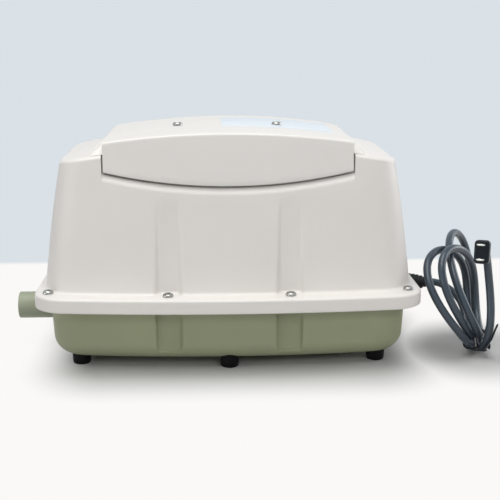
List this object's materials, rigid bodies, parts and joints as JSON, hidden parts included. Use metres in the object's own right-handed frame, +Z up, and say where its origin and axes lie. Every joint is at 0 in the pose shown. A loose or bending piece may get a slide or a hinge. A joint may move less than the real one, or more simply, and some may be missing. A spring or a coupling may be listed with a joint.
{
  "type": "linear diaphragm air pump",
  "caption": "Mains-driven linear diaphragm air pump for ponds: drafted white cover with a saddle filter lid, olive base tank, side outlet pipe, rubber feet and a tied grey cord with plug.",
  "frame": {"origin": "on the floor, at the middle of the pump's box without its cord", "axes": "+X towards the cord end (the outlet pipe points to -X), -Y towards the front seen in the picture, +Z up"},
  "size_m": [0.4681, 0.2449, 0.2206],
  "materials": {
    "white_shell": "satin white, faint texture",
    "olive_shell": "olive grey paint on cast metal",
    "rubber": "matte black",
    "steel": "zinc plated",
    "aluminium": "as cast",
    "core_steel": "varnished laminations",
    "copper": "enamelled copper winding",
    "ferrite": "sintered magnet",
    "foam": "open-cell foam",
    "black_plastic": "matte black",
    "grey_cord": "smooth grey jacket",
    "brass": "nickel plated"
  },
  "bodies": {
    "pump": {"base_tank": "olive_shell", "base_gasket": "rubber", "upper_cover": "white_shell", "outlet_pipe": "olive_shell", "tank_lid": "aluminium", "drive_frame": "aluminium", "terminal_block": "black_plastic", "flange_screw_front_1": "steel", "flange_screw_front_2": "steel", "flange_screw_front_3": "steel", "flange_screw_front_4": "steel", "flange_screw_back_1": "steel", "flange_screw_back_2": "steel", "flange_screw_back_3": "steel", "flange_screw_back_4": "steel", "foot_front_left": "rubber", "foot_front_centre": "rubber", "foot_front_right": "rubber", "foot_back_left": "rubber", "foot_back_centre": "rubber", "foot_back_right": "rubber", "vibration_mount_front_left": "rubber", "vibration_mount_front_right": "rubber", "vibration_mount_back_left": "rubber", "vibration_mount_back_right": "rubber", "core_front": "core_steel", "core_back": "core_steel", "coil_front": "copper", "coil_back": "copper", "diaphragm_left": "rubber", "diaphragm_right": "rubber", "pump_head_left": "aluminium", "pump_head_right": "aluminium", "head_cover_left": "aluminium", "head_cover_right": "aluminium", "outlet_sleeve_left": "rubber", "outlet_sleeve_right": "rubber", "cord_strain_relief": "rubber", "cord_lead": "grey_cord", "cord_hank": "grey_cord", "cord_tail": "grey_cord", "cord_tie": "black_plastic", "plug_body": "black_plastic", "plug_blade_upper": "brass", "plug_blade_lower": "brass"},
    "armature": {"armature_rod": "steel", "magnet_left": "ferrite", "magnet_right": "ferrite", "diaphragm_plate_left": "aluminium", "diaphragm_plate_right": "aluminium", "rod_nut_left": "steel", "rod_nut_right": "steel"},
    "lid": {"filter_cover": "white_shell", "filter_cover_screw_left": "steel", "filter_cover_screw_right": "steel"},
    "filter": {"filter_element": "foam"},
    "intake_valve_left": {"intake_flap_left": "rubber"},
    "intake_valve_right": {"intake_flap_right": "rubber"},
    "discharge_valve_left": {"discharge_flap_left": "rubber"},
    "discharge_valve_right": {"discharge_flap_right": "rubber"}
  },
  "joints": [
    {"name": "rod_stroke", "type": "slide", "parent": "pump", "child": "armature", "axis": [1, 0, 0], "range_m": [-0.003, 0.003], "stiffness_N_per_m": 400, "deforming": ["diaphragm_left", "diaphragm_right"]},
    {"name": "lid_lift", "type": "slide", "parent": "pump", "child": "lid", "axis": [0, 0, 1], "range_m": [0, 0.06]},
    {"name": "filter_lift", "type": "slide", "parent": "pump", "child": "filter", "axis": [0, 0, 1], "range_m": [0, 0.03]},
    {"name": "intake_valve_left_swing", "type": "hinge", "parent": "pump", "child": "intake_valve_left", "pos_m": [-0.0692, 0, 0.13875], "axis": [0, -1, 0], "range_deg": [0, 20]},
    {"name": "discharge_valve_left_swing", "type": "hinge", "parent": "pump", "child": "discharge_valve_left", "pos_m": [-0.0738, 0, 0.09975], "axis": [0, 1, 0], "range_deg": [0, 20]},
    {"name": "intake_valve_right_swing", "type": "hinge", "parent": "pump", "child": "intake_valve_right", "pos_m": [0.0972, 0, 0.13875], "axis": [0, 1, 0], "range_deg": [0, 20]},
    {"name": "discharge_valve_right_swing", "type": "hinge", "parent": "pump", "child": "discharge_valve_right", "pos_m": [0.1018, 0, 0.09975], "axis": [0, -1, 0], "range_deg": [0, 20]}
  ],
  "couplings": [
    {"joint": "filter_lift", "follows": "lid_lift", "ratio": 0.45}
  ]
}
